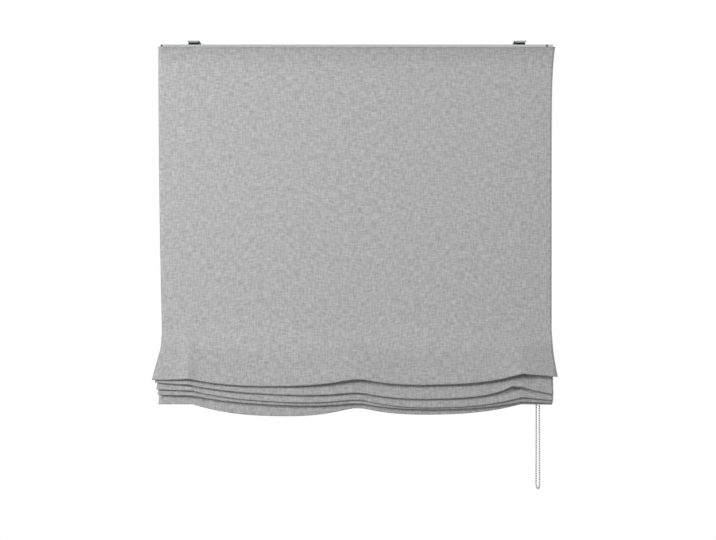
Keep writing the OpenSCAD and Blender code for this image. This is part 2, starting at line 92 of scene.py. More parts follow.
def grid_faces(rows, columns, round_rows=False, round_columns=False):
    """Each face joins a grid point to its next column, next row, or both. A round direction
    joins the last back to the first. Also gives the row and column of every face corner."""
    row, column = np.meshgrid(
        np.arange(rows if round_rows else rows - 1),
        np.arange(columns if round_columns else columns - 1),
        indexing="ij",
    )
    corner_row = np.stack([row, row, row + 1, row + 1], -1).reshape(-1, 4)
    corner_column = np.stack([column, column + 1, column + 1, column], -1).reshape(-1, 4)
    faces = (corner_row % rows) * columns + corner_column % columns
    return faces, corner_row, corner_column


def new_piece(name, points, faces, uv=None):
    """A smooth mesh object from points in millimetres, with one uv pair per face corner."""
    mesh = bpy.data.meshes.new(name)
    places = np.asarray(points).reshape(-1, 3) * MM
    mesh.from_pydata(places.tolist(), [], [list(f) for f in faces])
    if uv is not None:
        mesh.uv_layers.new(name="UVMap").data.foreach_set("uv", np.asarray(uv, np.float32).ravel())
    mesh.polygons.foreach_set("use_smooth", np.ones(len(mesh.polygons), bool))
    mesh.update()
    piece = bpy.data.objects.new(name, mesh)
    scene.collection.objects.link(piece)
    print(f"{name}: {len(mesh.vertices)} points, {len(mesh.polygons)} faces")
    return piece


# %% Circle carried along a path
X_AXIS = np.array([1.0, 0, 0])


def sweep(path, radius, sides):
    """A circle carried along a path. Its first direction is the X axis less the part of it
    that runs along the path, its second is square to both, and a point at angle a is the path
    point plus the radius times (cos a of the first plus sin a of the second)."""
    ahead = np.gradient(path, axis=0)
    ahead /= np.linalg.norm(ahead, axis=1, keepdims=True)
    first = X_AXIS - ahead * (ahead @ X_AXIS)[:, None]
    first /= np.linalg.norm(first, axis=1, keepdims=True)
    second = np.cross(ahead, first)
    angle = 2 * np.pi * np.arange(sides) / sides
    spokes = first[:, None] * np.cos(angle)[:, None] + second[:, None] * np.sin(angle)[:, None]
    return path[:, None] + np.broadcast_to(radius, len(path))[:, None, None] * spokes


def tube_faces(rows, sides):
    """The faces of a sweep, with a flat end at each end of it."""
    faces, corner_row, corner_column = grid_faces(rows, sides, round_columns=True)
    ends = [list(range(sides))[::-1], list(range((rows - 1) * sides, rows * sides))]
    return [list(f) for f in faces] + ends, corner_row, corner_column


# %% [markdown]
# ## The bead chain
# The chain is a loop of cord with a moulded bead every 6 mm. It lies in the pockets of a wheel
# inside the rail, hangs down on both sides of it and turns round at the bottom. Counting along
# it in beads makes the route simple: 3 beads from the top of the wheel to its front, 181 beads
# down, 6 round the bottom, 181 up and 3 back to the top. An array or a curve modifier could
# repeat the bead, but adding one small bead mesh to all the route's points at once is shorter,
# and each bead needs only a few dozen faces.

# %% Chain route
BEAD_PITCH = 6.0
BEAD_R = 2.25
CHAIN_CORD_R = 0.75
POCKETS = 12
STRAND_BEADS = 181
RAIL_Y = -16.0
SHAFT_Z = -34.141
WHEEL = np.array([459.0, RAIL_Y, SHAFT_Z])
WHEEL_R = BEAD_PITCH / 2 / np.sin(np.pi / POCKETS)
LOOP_TWIST = np.radians(-14)

twist_sin, twist_cos = np.sin(LOOP_TWIST), np.cos(LOOP_TWIST)
shift = WHEEL_R * np.array([twist_sin, twist_cos - 1])
strand_drop = np.sqrt((STRAND_BEADS * BEAD_PITCH) ** 2 - shift @ shift)
quarter = POCKETS / 4
loop_beads = 2 * STRAND_BEADS + POCKETS


def chain_route(bead):
    """Place of a bead number along the loop. On the wheel and at the bottom the number turns
    through 30 degrees a bead on a circle, and on a strand it moves from the wheel's side to
    the bottom circle's side in equal steps. The bottom circle is twisted about the vertical."""
    bead = np.asarray(bead, float)
    down = np.clip((bead - quarter) / STRAND_BEADS, 0, 1)
    back = np.clip((bead - quarter - STRAND_BEADS - POCKETS / 2) / STRAND_BEADS, 0, 1)
    low = down - back
    first_turn = np.clip(bead, 0, quarter)
    bottom_turn = np.clip(bead - quarter - STRAND_BEADS, 0, POCKETS / 2)
    last_turn = np.clip(bead - loop_beads + quarter, 0, quarter)
    angle = np.pi / 2 + (first_turn + bottom_turn + last_turn) * 2 * np.pi / POCKETS
    out, rise = WHEEL_R * np.cos(angle), WHEEL_R * np.sin(angle)
    x, y = out * twist_sin * low, out * (1 + (twist_cos - 1) * low)
    return WHEEL + np.stack([x, y, rise - strand_drop * low], -1)


print(f"{loop_beads} beads, strands {strand_drop:.0f} mm long")


# %% Chain mesh
def ball(radius, rings, sides):
    """A sphere by angles: at each tilt a ring of points, as high as the tilt's sine and as
    wide as its cosine, plus a point at each pole."""
    tilt = np.linspace(-np.pi / 2, np.pi / 2, rings + 2)[1:-1, None]
    turn = 2 * np.pi * np.arange(sides) / sides
    shell = np.stack(
        [np.cos(tilt) * np.cos(turn), np.cos(tilt) * np.sin(turn), np.sin(tilt) + 0 * turn], -1
    ).reshape(-1, 3)
    faces, _, _ = grid_faces(rings, sides, round_columns=True)
    here = np.arange(sides)
    after = (here + 1) % sides
    south, north, top = rings * sides, rings * sides + 1, (rings - 1) * sides
    south_cap = [[south, b, a] for a, b in zip(here, after)]
    north_cap = [[top + a, top + b, north] for a, b in zip(here, after)]
    points = radius * np.vstack([shell, [[0, 0, -1], [0, 0, 1]]])
    return points, [list(f) for f in faces] + south_cap + north_cap


bead_points, bead_faces = ball(BEAD_R, rings=5, sides=8)
bead_places = chain_route(np.arange(loop_beads))
bead_starts = np.arange(loop_beads) * len(bead_points)
all_beads = bead_places[:, None] + bead_points
all_bead_faces = [[i + start for i in face] for start in bead_starts for face in bead_faces]

STEPS_PER_BEAD, CHAIN_CORD_SIDES = 3, 6
chain_cord_path = chain_route(np.arange(loop_beads * STEPS_PER_BEAD + 1) / STEPS_PER_BEAD)
chain_cord_skin = sweep(chain_cord_path, CHAIN_CORD_R, CHAIN_CORD_SIDES)
tube, _, _ = tube_faces(len(chain_cord_path), CHAIN_CORD_SIDES)
chain_cord_start = loop_beads * len(bead_points)
chain_cord_faces = [[i + chain_cord_start for i in face] for face in tube]
chain = new_piece(
    "bead_chain_loop",
    np.vstack([all_beads.reshape(-1, 3), chain_cord_skin.reshape(-1, 3)]),
    all_bead_faces + chain_cord_faces,
)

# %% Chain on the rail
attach(chain, "rail")
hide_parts("bead_chain")

# %% [markdown]
# ## The cloth
# The shade is one piece of linen. From the rail it hangs flat, bows out over the gathered
# part, and then runs down and up again through four loose folds to the hem. Between the cords
# each fold sags, which gives the swags. A cloth simulation would have to be steered to land on
# these folds, so the sheet is worked out directly: for every column across the blind, the path
# of the cloth down the blind is a chain of straight layers, curved by a power, and round turns.
# The five stations across are the two sides and the three cords, and each fold's edge has its
# own height at each station. Where a cord pulls the folds up they stand open a little, so a bell
# curve about the cord moves the first folds out and up and leaves a dark hollow under them: a
# small one at the left cord, and one at the right cord that runs on to the side. The second
# fold has its peak a little beside the right cord, so a third curve lifts only that edge.

# %% Cloth sizes
TOP_HALF = 500.0
CORD_X = 412.0
RAIL_TO_CLOTH = 21.8411
CLOTH_Y = RAIL_Y - RAIL_TO_CLOTH
CLOTH_T = 1.0
FABRIC_TOP = -15.6
FOLD_TOP = 850.0
FOLD_R = 2.5
FOLD_OUT = 44.0
FOLD_STEP = 7.5
FOLD_SAG = 20.0
CREASE_RISE = 85.0
CREASE_PITCH = 12.0
CREASE_R = 2.5
CREASE_SAG = 24.0
FLARE_RISE = 34.0
FLARE_SLACK = 32.0
DRAW_IN = 9.0
CREASE_INSET = 1.5
CREASE_HALF = TOP_HALF - DRAW_IN - CREASE_INSET
HEM_DEPTH = 30.0
HEM_R = 3.0
HEM_OUT = 9.0
HEM_Y = CLOTH_Y - HEM_OUT
# How far each edge hangs below FOLD_TOP at the left side, the three cords and the right side
FOLD_EDGES = [
    [1, 0, 0, -12, -5],
    [8, 15, 34, 24, 39],
    [26, 29, 52, 45, 53],
    [40, 42, 62, 57, 61],
    [65, 65, 75, 65, 66],
]
# Share of the sag of each edge, and how far its end stands out past the top: left and right
SAG_SHARES = [[0.85, 0.95], [0.65, 1.0], [0.8, 1.15], [0.65, 0.85], [1.25, 1.05]]
FOLD_SIDES = [[9, -2], [2.5, -11], [-0.5, -10], [-2, -10], [-2.5, -10]]
FOLDS = len(FOLD_EDGES) - 1

# %% Columns across the cloth
# Number of columns from each station, 0 to 4 from the left side to the right, to the next
COLUMN_STEPS = [12, 50, 50, 12]
SWAG_POWER = 2.4
MIDDLE_ROUND = 0.06

spans = [np.linspace(s, s + 1, n, endpoint=False) for s, n in enumerate(COLUMN_STEPS)]
station = np.append(np.concatenate(spans), len(COLUMN_STEPS))
from_middle = np.abs(station - 2)
inner = from_middle < 1
share = station % 1
rounding = from_middle ** 2 / (from_middle ** 2 + MIDDLE_ROUND ** 2)
swag = np.where(inner, (1 - np.abs(2 * share - 1) ** SWAG_POWER) * rounding, 0)
side_share = np.clip(from_middle - 1, 0, 1)
free = np.where(inner, (1 - np.cos(2 * np.pi * share)) / 2, 0)
slack = np.where(inner, free, (1 - np.cos(np.pi * side_share)) / 2)


def across(values):
    """A value that runs in straight lines between its five stations."""
    return np.interp(station, range(len(values)), values)


def half_of(pair):
    """The first of a pair left of the middle cord, and the second right of it."""
    return np.where(station < 2, pair[0], pair[1])


column_x = across([-TOP_HALF, -CORD_X, 0, CORD_X, TOP_HALF])
column_gap = np.diff(column_x)
print(f"{len(station)} columns, {column_gap.min():.1f} to {column_gap.max():.1f} mm apart")

# %% Hollows at the cords
# Place of each hollow, its reach to the left and to the right, its power (2 is a bell and 1 a
# sharp tip), and then how far it moves each fold out and how far it lifts each edge
HOLLOWS = [
    (-CORD_X - 10, 14, 14, 2, [4.8, 3.0, 1.5, 0.6], [1.8, 1.5, 0, 0, 0]),
    (CORD_X, 45, 130, 2, [8.0, 5.0, 2.5, 1.0], [3.0, 2.5, 0, 0, 0]),
    (CORD_X - 22, 38, 16, 1, [0, 0, 0, 0], [0, 12.0, 0, 0, 0]),
]
hollow_out = np.zeros((FOLDS, len(station)))
hollow_lift = np.zeros((FOLDS + 1, len(station)))
for place, left_reach, right_reach, power, out, lift in HOLLOWS:
    reach = np.where(column_x < place, left_reach, right_reach)
    bell = np.exp(-np.abs((column_x - place) / reach) ** power)
    hollow_out += np.outer(out, bell)
    hollow_lift += np.outer(lift, bell)
print(f"hollows up to {hollow_out.max():.1f} mm deep")


# %% Places of the folds
def edge_z(row):
    """Height of a fold's edge: its own value at the stations, the sag between cords, and the
    lift of the hollows."""
    below = across(FOLD_EDGES[row]) + FOLD_SAG * half_of(SAG_SHARES[row]) * swag
    return hollow_lift[row] - FOLD_TOP - below


def crease_z(i):
    """Height of the crease behind fold i: one pitch lower each time, sagging between cords."""
    return -(FOLD_TOP - CREASE_RISE + CREASE_PITCH * i + CREASE_SAG * swag)


def fold_y(i):
    """How far forward fold i stands: the first stands out most, each next steps back, and the
    hollows move it out."""
    return CLOTH_Y - FOLD_OUT + FOLD_STEP * i - hollow_out[i]


def half_width(i):
    """Half the width of the cloth at fold i, for the side that each column is on."""
    return TOP_HALF + half_of(FOLD_SIDES[i])


print(f"first fold's edge at {edge_z(0).max():.0f} to {edge_z(0).min():.0f} mm")

# %% Layers and turns
CROWDING = 1.4


def mix(a, b, t):
    """a at t = 0, b at t = 1, in a straight line between."""
    return a + (b - a) * t


def layer(top, low, power, steps, spread=1.0, tuck=0.0):
    """A layer from a crease to a fold: with s from 0 to 1, the height changes in a straight
    line, the width by s to the spread, and the depth by s to a power, so that the cloth bows.
    A tuck mixes in s to the fourth, which holds the cloth back for longer. The values of s
    crowd towards the top, where a fold bows most."""
    s = np.linspace(0, 1, steps + 1)[:, None] ** CROWDING
    bow = mix(s ** power, s ** 4, tuck)
    full = np.ones_like(bow * station)
    half = mix(top[0], low[0], s ** spread) * full
    depth = mix(top[1], low[1], bow) * full
    return np.stack([half, depth, mix(top[2], low[2], s)])


def turn(half, y, z, radius, start, stop, steps):
    """Part of a circle of that radius about (y, z), without its two end points."""
    angle = np.radians(np.linspace(start, stop, steps + 1))[1:-1, None]
    full = np.ones_like(angle * station)
    return np.stack([half * full, y + radius * np.cos(angle) * full, z + radius * np.sin(angle)])


# %% Path of the cloth
PANEL_STEPS, FLARE_STEPS, LAYER_STEPS, TURN_STEPS = 60, 30, 18, 8
DRAPE_POWER = 0.65
CORD_FLARE, FREE_FLARE, SIDE_FLARE = 1.05, 1.6, 2.6
CORD_PINCH = 0.3
TAIL_TURN = -60
# The left side draws in little by little, and the right side at once below the rail
LEFT_DRAW, RIGHT_DRAW = 2, 12

pinch = CORD_PINCH * (1 - slack)
flare = mix(CORD_FLARE, FREE_FLARE, free)
flare_z = crease_z(0).max() + FLARE_RISE + FLARE_SLACK * free
s = np.linspace(0, 1, PANEL_STEPS, endpoint=False)[:, None]
drawn = np.where(station < 2, s ** LEFT_DRAW, 1 - (1 - s) ** RIGHT_DRAW)
panel = np.stack([TOP_HALF - DRAW_IN * drawn, CLOTH_Y + 0 * drawn, mix(FABRIC_TOP, flare_z, s)])
strips = [panel]
for i in range(FOLDS):
    low = [half_width(i), fold_y(i) - FOLD_R, edge_z(i) + FOLD_R]
    if i == 0:
        top = [TOP_HALF - DRAW_IN, CLOTH_Y, flare_z]
        strips.append(layer(top, low, flare, FLARE_STEPS, spread=SIDE_FLARE))
    else:
        top = [CREASE_HALF, CLOTH_Y, crease_z(i - 1) - CREASE_R]
        strips.append(layer(top, low, DRAPE_POWER, LAYER_STEPS, tuck=pinch))
    strips.append(turn(half_width(i), fold_y(i), edge_z(i) + FOLD_R, FOLD_R, 180, 360, TURN_STEPS))
    rear_top = [CREASE_HALF, CLOTH_Y, crease_z(i) + CREASE_R]
    rear_low = [half_width(i), fold_y(i) + FOLD_R, edge_z(i) + FOLD_R]
    strips.append(layer(rear_top, rear_low, DRAPE_POWER, LAYER_STEPS, tuck=pinch)[:, ::-1])
    stop = TAIL_TURN if i == FOLDS - 1 else -90
    strips.append(turn(CREASE_HALF, CLOTH_Y, crease_z(i), CREASE_R, 90, stop, TURN_STEPS))
print(f"flat part ends {-flare_z.max():.0f} to {-flare_z.min():.0f} mm down")

# %% Hem
HEM_STEPS = 3
hem_low = edge_z(FOLDS) + HEM_R
tail_half = half_width(FOLDS)
tail_angle = np.radians(TAIL_TURN)
tail_top = [
    CREASE_HALF,
    CLOTH_Y + CREASE_R * np.cos(tail_angle),
    crease_z(FOLDS - 1) + CREASE_R * np.sin(tail_angle),
]
tail_low = [tail_half, HEM_Y - HEM_R, hem_low]
strips.append(layer(tail_top, tail_low, DRAPE_POWER, LAYER_STEPS, tuck=pinch))
strips.append(turn(tail_half, HEM_Y, hem_low, HEM_R, 180, 360, TURN_STEPS))
rise = np.linspace(0, HEM_DEPTH, HEM_STEPS + 1)[:, None]
flap_y = np.full((HEM_STEPS + 1, len(station)), HEM_Y + HEM_R)
strips.append(np.stack([tail_half + 0 * rise, flap_y, hem_low + rise]))
half, depth, height = np.concatenate(strips, axis=1)
print("cloth grid:", half.shape)

# %% Points of the cloth
side_part = across([-1, 0, 0, 0, 1])
cord_part = across([0, -CORD_X, 0, CORD_X, 0])
cloth_points = np.stack([half * side_part + cord_part, depth, height], -1)
step = np.linalg.norm(np.diff(cloth_points, axis=0), axis=2).mean(axis=1)
cloth_v = np.concatenate([[0], np.cumsum(step)])
rows, columns = half.shape
faces, corner_row, corner_column = grid_faces(rows, columns)
cloth_uv = np.stack([column_x[corner_column], -cloth_v[corner_row]], -1) * MM
cloth = new_piece("linen_cloth", cloth_points, faces[:, ::-1], cloth_uv[:, ::-1])
thickness = cloth.modifiers.new("cloth thickness", "SOLIDIFY")
thickness.thickness = CLOTH_T * MM
thickness.offset = 0.0
print(f"cloth {2 * TOP_HALF:.0f} mm wide, {cloth_v[-1]:.0f} mm from top edge to hem turn-up")

# %% [markdown]
# ## Placing the soft pieces
# On the real blind the cords lift the hem and the folds ride up with it, while the flat part
# above them gets shorter. Here the cloth and each soft piece on it only have their placement
# baked into their points, so they keep the shape that they are built in.


def hang_between(piece):
    """Bakes the piece's placement into its points."""
    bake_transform(piece)


hang_between(cloth)
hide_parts("fabric_shade")

# %% [markdown]
# ## Rolled side edges
# The cut sides of the cloth are rolled under and sewn, which makes a thin, slightly raised
# edge. Carrying a small circle down the first and last columns of the cloth gives exactly
# that, and it follows every fold by itself.

# %% Side rolls
ROLL_R, ROLL_SIDES = 0.8, 8
rolls = []
for side, column in (("left", 0), ("right", -1)):
    edge_path = cloth_points[:, column] - np.sign(column_x[column]) * ROLL_R * X_AXIS
    roll_faces, _, _ = tube_faces(len(edge_path), ROLL_SIDES)
    roll = new_piece(f"side_roll_{side}", sweep(edge_path, ROLL_R, ROLL_SIDES), roll_faces)
    hang_between(roll)
    rolls.append(roll)

# %% [markdown]
# ## Hem stitches
# The hem pocket is closed by a line of machine stitches near the top of its turned-up flap,
# on the back of the cloth. Each stitch is a short thread that dips into the cloth at both
# ends: a tiny tube along an arc, repeated along the flap.

# %% Hem stitches
STITCH_LEN, STITCH_PITCH, THREAD_R = 3.0, 4.5, 0.3
# Distance from the cloth's sides, and the height of the seam as a share of the last hem step
SEAM_INSET, SEAM_SHARE = 6.0, 0.6
# How far a stitch stands up from the cloth in its middle, and how far its ends dip below that
STITCH_UP, STITCH_DIP = 0.45, 0.5
STITCH_RINGS, THREAD_SIDES = 5, 5

seam = mix(cloth_points[-2], cloth_points[-1], SEAM_SHARE)
stitch_x = np.arange(seam[0, 0] + SEAM_INSET, seam[-1, 0] - SEAM_INSET, STITCH_PITCH)
bow = np.linspace(-1, 1, STITCH_RINGS)
stitch_at = stitch_x[:, None] + bow * STITCH_LEN / 2
seam_y, seam_z = (np.interp(stitch_at, seam[:, 0], seam[:, axis]) for axis in (1, 2))
stitch_y = seam_y + CLOTH_T / 2 + STITCH_UP - STITCH_DIP * bow ** 2
angle = 2 * np.pi * np.arange(THREAD_SIDES) / THREAD_SIDES
spokes = THREAD_R * np.stack([0 * angle, np.cos(angle), np.sin(angle)], -1)
stitch_points = np.stack([stitch_at, stitch_y, seam_z], -1)[:, :, None] + spokes
stitch_faces, _, _ = tube_faces(STITCH_RINGS, THREAD_SIDES)
stitch_starts = np.arange(len(stitch_x)) * STITCH_RINGS * THREAD_SIDES
stitches = new_piece(
    "hem_stitches",
    stitch_points,
    [[i + start for i in face] for start in stitch_starts for face in stitch_faces],
)
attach(stitches, "hem")
print(len(stitch_x), "stitches along the hem")

# %% [markdown]
# ## Rings sewn to the cloth
# Small moulded rings guide the cords. Each lies level against the back of the cloth and is
# held by three turns of thread. The rings of the flat part and of the upper creases move with
# the cloth, and those of the last crease with the hem, so they are separate pieces. A ring is
# a circle carried round a circle, and so is each turn of thread.

# %% Ring places
RING_R, RING_WIRE_R = 5.5, 1.0
SEAT = 0.2
PANEL_RING_ROWS, RING_ROW_GAP = 4, 215.0
RING_BELOW_FLARE = 2.0
panel_ring_y = CLOTH_Y + CLOTH_T / 2 + SEAT + RING_R + RING_WIRE_R
crease_ring_y = CLOTH_Y + CREASE_R + CLOTH_T / 2 + SEAT + RING_R + RING_WIRE_R
cord_xs = np.array([-CORD_X, 0, CORD_X])
lowest_panel_ring = -(FOLD_TOP - CREASE_RISE - FLARE_RISE + RING_BELOW_FLARE)
panel_ring_z = lowest_panel_ring + RING_ROW_GAP * np.arange(PANEL_RING_ROWS)
crease_ring_z = -(FOLD_TOP - CREASE_RISE + CREASE_PITCH * np.arange(FOLDS))
soft_rows = [(panel_ring_y, z) for z in panel_ring_z]
soft_rows += [(crease_ring_y, z) for z in crease_ring_z[:-1]]
soft_rings = np.array([(x, y, z) for x in cord_xs for y, z in soft_rows])
hem_rings = np.array([(x, crease_ring_y, crease_ring_z[-1]) for x in cord_xs])
print(f"{len(soft_rings)} rings on the cloth and {len(hem_rings)} in the hem's row")


def torus(big, small, turns, sides, axis):
    """A circle of the small radius carried round a circle of the big radius about an axis:
    along the axis small times sin b, and out from it big plus small times cos b."""
    a = 2 * np.pi * np.arange(turns)[:, None] / turns
    b = 2 * np.pi * np.arange(sides) / sides
    out = big + small * np.cos(b)
    flat = np.stack([out * np.cos(a), out * np.sin(a), small * np.sin(b) + 0 * a], -1)
    faces, _, _ = grid_faces(turns, sides, round_rows=True, round_columns=True)
    return np.roll(flat.reshape(-1, 3), axis - 2, axis=1), faces[:, ::-1]


def repeated(name, shape, places):
    """One mesh that holds a copy of a shape at every place."""
    points, faces = shape
    starts = np.arange(len(places))[:, None, None] * len(points)
    return new_piece(name, places[:, None] + points, (starts + faces).reshape(-1, faces.shape[1]))


# %% Rings and their threads
TYING_R, TYING_THREAD_R, TYING_GAP = 1.35, 0.22, 0.7
ring_shape = torus(RING_R, RING_WIRE_R, turns=28, sides=10, axis=2)
thread_shape = torus(TYING_R, TYING_THREAD_R, turns=10, sides=5, axis=0)
thread_offsets = np.array([[TYING_GAP * n, -RING_R, 0] for n in (-1, 0, 1)])
ring_pieces = []
ring_sets = (("cloth_rings", soft_rings, "fabric_rings"), ("hem_row_rings", hem_rings, "hem_rings"))
for name, places, node in ring_sets:
    rings = repeated(name, ring_shape, places)
    thread_places = (places[:, None] + thread_offsets).reshape(-1, 3)
    threads = repeated(name + "_threads", thread_shape, thread_places)
    for piece in (rings, threads):
        if node == "fabric_rings":
            hang_between(piece)
        else:
            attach(piece, "hem")
        ring_pieces.append(piece)
    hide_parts(node)

# %% [markdown]
# ## Lift cords
# Each cord is wound a few turns on its drum in the rail, runs straight down through the rings
# and ends in a knot inside its stop. One path holds all of it: a coil about the drum that
# leaves it at the front, then the straight fall. The knot is the same tube made thicker over
# its last few millimetres.

# %% Lift cords
CORD_R, CORD_SIDES = 0.7, 8
CORD_TURNS = 6
LAY_GAP = 0.05
CORD_LAY = 2 * CORD_R + LAY_GAP
CORD_BEHIND_RING = 1.0
cord_y = panel_ring_y + CORD_BEHIND_RING
coil_r = RAIL_Y - cord_y
KNOT_R, KNOT_Z = 1.7, -809.5
KNOT_START, KNOT_END = KNOT_Z + 3.5, KNOT_Z - 1.8
COIL_STEPS, FALL_STEPS, KNOT_STEPS = 24, 60, 12
KNOT_LEAD = 0.5


def lift_cord_path(x):
    """A coil of some turns about the drum, less a quarter, one lay along it a turn, ending at
    the front of the drum, and then a straight line down to the knot."""
    turns = np.linspace(CORD_TURNS - 0.25, 0, COIL_STEPS * CORD_TURNS)
    angle = np.pi - 2 * np.pi * turns
    coil_y, coil_z = RAIL_Y + coil_r * np.cos(angle), SHAFT_Z + coil_r * np.sin(angle)
    coil = np.stack([x + CORD_LAY * turns, coil_y, coil_z], -1)
    long_fall = np.linspace(SHAFT_Z, KNOT_START + KNOT_LEAD, FALL_STEPS)[1:]
    fall_z = np.concatenate([long_fall, np.linspace(KNOT_START, KNOT_END, KNOT_STEPS)])
    fall = np.stack([np.full_like(fall_z, x), np.full_like(fall_z, cord_y), fall_z], -1)
    return np.vstack([coil, fall])


lift_cords = []
for name, x in zip(("left", "middle", "right"), cord_xs):
    path = lift_cord_path(x)
    from_knot = np.clip(1 - ((path[:, 2] - KNOT_Z) / KNOT_R) ** 2, 0, 1)
    radius = np.maximum(CORD_R, KNOT_R * np.sqrt(from_knot))
    cord_faces, corner_row, corner_column = tube_faces(len(path), CORD_SIDES)
    along = np.concatenate([[0], np.cumsum(np.linalg.norm(np.diff(path, axis=0), axis=1))])
    around = corner_column / CORD_SIDES * 2 * np.pi * CORD_R
    side_uv = np.stack([around, along[corner_row]], -1).reshape(-1, 2)
    end_uv = np.zeros((2 * CORD_SIDES, 2))
    cord_skin = sweep(path, radius, CORD_SIDES)
    cord_uv = np.vstack([side_uv, end_uv]) * MM
    cord = new_piece(f"lift_cord_braid_{name}", cord_skin, cord_faces, cord_uv)
    hang_between(cord)
    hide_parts(f"lift_cord_{name}")
    lift_cords.append(cord)
print(f"lift cords {along[-1]:.0f} mm each, {CORD_TURNS} turns on the drum")

# %% [markdown]
# ## Materials
# A material is a small net of nodes. Two helpers keep the nets short: one turns the sRGB hex
# colour that a paint program shows into the linear numbers that light is worked out with, and
# one adds a node with its settings and its links in a single call.

# %% Material helpers
# A mix node has sockets of the same names for other kinds of data, so these go by number
MIX_SHARE, MIX_FIRST, MIX_SECOND, MIX_COLOUR = 0, 6, 7, 2


def linear(code):
    """sRGB hex to linear: a thirteenth or so of small values, and a power of 2.4 of the rest."""
    value = np.array([int(code[i:i + 2], 16) for i in (1, 3, 5)]) / 255
    curve = ((value + 0.055) / 1.055) ** 2.4
    return (*np.where(value <= 0.04045, value / 12.92, curve).tolist(), 1.0)


def add(tree, kind, inputs=None, **settings):
    """Adds a node. Settings are its own options; inputs give a socket a value or a link."""
    node = tree.nodes.new("ShaderNode" + kind)
    for name, value in settings.items():
        setattr(node, name, value)
    for name, value in (inputs or {}).items():
        if isinstance(value, bpy.types.NodeSocket):
            tree.links.new(value, node.inputs[name])
        else:
            node.inputs[name].default_value = value
    return node


def new_material(name):
    """A material whose net is still empty."""
    material = bpy.data.materials.new(name)
    material.use_nodes = True
    material.node_tree.nodes.clear()
    return material, material.node_tree


def paint(material, *pieces):
    """Gives pieces one material in place of any they have."""
    for piece in pieces:
        piece.data.materials.clear()
        piece.data.materials.append(material)
    print(f"{material.name}:", ", ".join(piece.name for piece in pieces))


# %% [markdown]
# ### Linen
# The cloth is an open plain weave of flax-like yarn. Such yarn is uneven: thick places, called
# slubs, show as short streaks along both thread directions. Single threads are under a
# millimetre and too fine to show from here, so the streaks are drawn 3.4 mm thick and 18 mm
# long. They follow the cloth's own texture coordinates, so they bend with the folds. The cloth
# is half sheer: part of the light from behind comes through, which is why the rail and the
# folded layers behind it show as darker bands. A translucent shader mixed in gives that.

# %% Linen
SLUB_LONG_MM, SLUB_THICK_MM = 18.0, 3.4
SHEER = 0.16

linen, tree = new_material("slubbed half-sheer linen")
uv = add(tree, "TexCoord").outputs["UV"]
streaks = []
long_scale, thick_scale = 1 / (SLUB_LONG_MM * MM), 1 / (SLUB_THICK_MM * MM)
for scale in ((long_scale, thick_scale, 1), (thick_scale, long_scale, 1)):
    slub_map = add(tree, "Mapping", {"Vector": uv, "Scale": scale})
    noise = {"Vector": slub_map.outputs[0], "Scale": 1.0, "Detail": 1.0}
    slub = add(tree, "TexNoise", noise, noise_dimensions="2D")
    contrast = {"Value": slub.outputs["Fac"], "From Min": 0.35, "From Max": 0.65}
    streaks.append(add(tree, "MapRange", contrast).outputs[0])
threads = add(tree, "Math", {0: streaks[0], 1: streaks[1]}, operation="ADD")
slubs = add(tree, "Math", {0: threads.outputs[0], 1: 0.5}, operation="MULTIPLY")
tones = {MIX_SHARE: slubs.outputs[0], MIX_FIRST: linear("#aaaaaa"), MIX_SECOND: linear("#cecece")}
tone = add(tree, "Mix", tones, data_type="RGBA")
relief = add(tree, "Bump", {"Height": threads.outputs[0], "Strength": 0.35, "Distance": 0.0006})
surface = add(
    tree,
    "BsdfPrincipled",
    {
        "Base Color": tone.outputs[MIX_COLOUR],
        "Roughness": 0.92,
        "Specular IOR Level": 0.2,
        "Sheen Weight": 0.08,
        "Sheen Roughness": 0.5,
        "Normal": relief.outputs[0],
    },
)
through = add(tree, "BsdfTranslucent", {"Color": linear("#ececec"), "Normal": relief.outputs[0]})
half_sheer = add(tree, "MixShader", {0: SHEER, 1: surface.outputs[0], 2: through.outputs[0]})
add(tree, "OutputMaterial", {"Surface": half_sheer.outputs[0]})
paint(linen, cloth, *rolls)
print(f"linen slubs {SLUB_LONG_MM} by {SLUB_THICK_MM} mm")

# %% [markdown]
# ### Moulded plastics
# The drums, cradles, caps, rings, stops and beads are all injection moulded. Moulded plastic
# has an even colour with faint flow clouds, and a fine spark-eroded grain that softens its
# shine. One function makes them all from a light and a dark tone, a roughness and a grain.

# %% Moulded plastics
FLOW_MM = 15
PLASTIC_SPREAD = 0.08


def moulded(name, light, dark, roughness, grain_mm, depth_mm):
    """Two close tones mixed by flow clouds, with a fine grain in the roughness and relief."""
    material, tree = new_material(name)
    place = add(tree, "TexCoord").outputs["Object"]
    flow = add(tree, "TexNoise", {"Vector": place, "Scale": 1 / (FLOW_MM * MM), "Detail": 2.0})
    grain = add(tree, "TexNoise", {"Vector": place, "Scale": 1 / (grain_mm * MM), "Detail": 3.0})
    grain = grain.outputs["Fac"]
    tones = {MIX_SHARE: flow.outputs["Fac"], MIX_FIRST: linear(dark), MIX_SECOND: linear(light)}
    tone = add(tree, "Mix", tones, data_type="RGBA")
    least, most = roughness - PLASTIC_SPREAD, roughness + PLASTIC_SPREAD
    rough = add(tree, "MapRange", {"Value": grain, "To Min": least, "To Max": most})
    relief = add(tree, "Bump", {"Height": grain, "Strength": 0.3, "Distance": depth_mm * MM})
    surface = add(
        tree,
        "BsdfPrincipled",
        {
            "Base Color": tone.outputs[MIX_COLOUR],
            "Roughness": rough.outputs[0],
            "IOR": 1.5,
            "Normal": relief.outputs[0],
        },
    )
    add(tree, "OutputMaterial", {"Surface": surface.outputs[0]})
    return material


